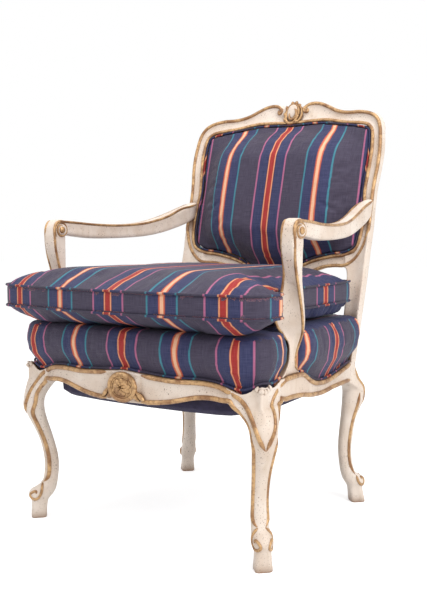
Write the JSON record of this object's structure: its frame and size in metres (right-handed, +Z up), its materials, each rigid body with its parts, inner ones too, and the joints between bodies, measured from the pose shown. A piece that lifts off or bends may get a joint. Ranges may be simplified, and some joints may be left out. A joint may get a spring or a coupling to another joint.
{
  "type": "upholstered open armchair",
  "caption": "Painted, part-gilt open armchair with cabriole legs, a sprung seat, a padded back and a loose T-shaped seat cushion in striped cloth.",
  "frame": {"origin": "on the floor, in the middle of the whole chair's box", "axes": "+Z up, -Y towards the chair's front, +X towards the right of someone who faces its front"},
  "size_m": [0.6786, 0.7713, 0.9692],
  "materials": {
    "cream_paint": "antique cream paint with worn gilt mouldings",
    "beech": "bare",
    "striped_cloth": "woven stripes",
    "welt_cloth": "woven stripes",
    "dark_cloth": "plain dust cloth",
    "jute": "natural",
    "filling": "soft filling",
    "spring_steel": "drawn wire",
    "brass": "satin"
  },
  "bodies": {
    "frame": {"arm_left": "cream_paint", "arm_right": "cream_paint", "arm_support_left": "cream_paint", "arm_support_right": "cream_paint", "back_cover": "striped_cloth", "back_post_left": "cream_paint", "back_post_right": "cream_paint", "back_stuffing": "filling", "back_webbing": "jute", "back_welt": "welt_cloth", "bottom_cover": "dark_cloth", "corner_block_front_left": "beech", "corner_block_front_right": "beech", "corner_block_rear_left": "beech", "corner_block_rear_right": "beech", "crest_rail": "cream_paint", "front_leg_left": "cream_paint", "front_leg_right": "cream_paint", "front_rail": "cream_paint", "lower_back_rail": "cream_paint", "outside_back": "striped_cloth", "outside_back_gimp": "welt_cloth", "rear_rail": "beech", "seat_cover": "striped_cloth", "seat_hessian": "jute", "seat_spring_1": "spring_steel", "seat_spring_2": "spring_steel", "seat_spring_3": "spring_steel", "seat_spring_4": "spring_steel", "seat_spring_5": "spring_steel", "seat_stuffing": "filling", "seat_webbing": "jute", "seat_welt_front": "welt_cloth", "seat_welt_left": "welt_cloth", "seat_welt_right": "welt_cloth", "side_rail_left": "cream_paint", "side_rail_right": "cream_paint"},
    "cushion": {"cushion_bottom_welt": "welt_cloth", "cushion_core": "filling", "cushion_cover": "striped_cloth", "cushion_top_welt": "welt_cloth", "cushion_zip": "brass"}
  },
  "joints": [
    {"name": "cushion_pull_out", "type": "slide", "parent": "frame", "child": "cushion", "axis": [0, -1, 0], "range_m": [0, 0.6]}
  ]
}
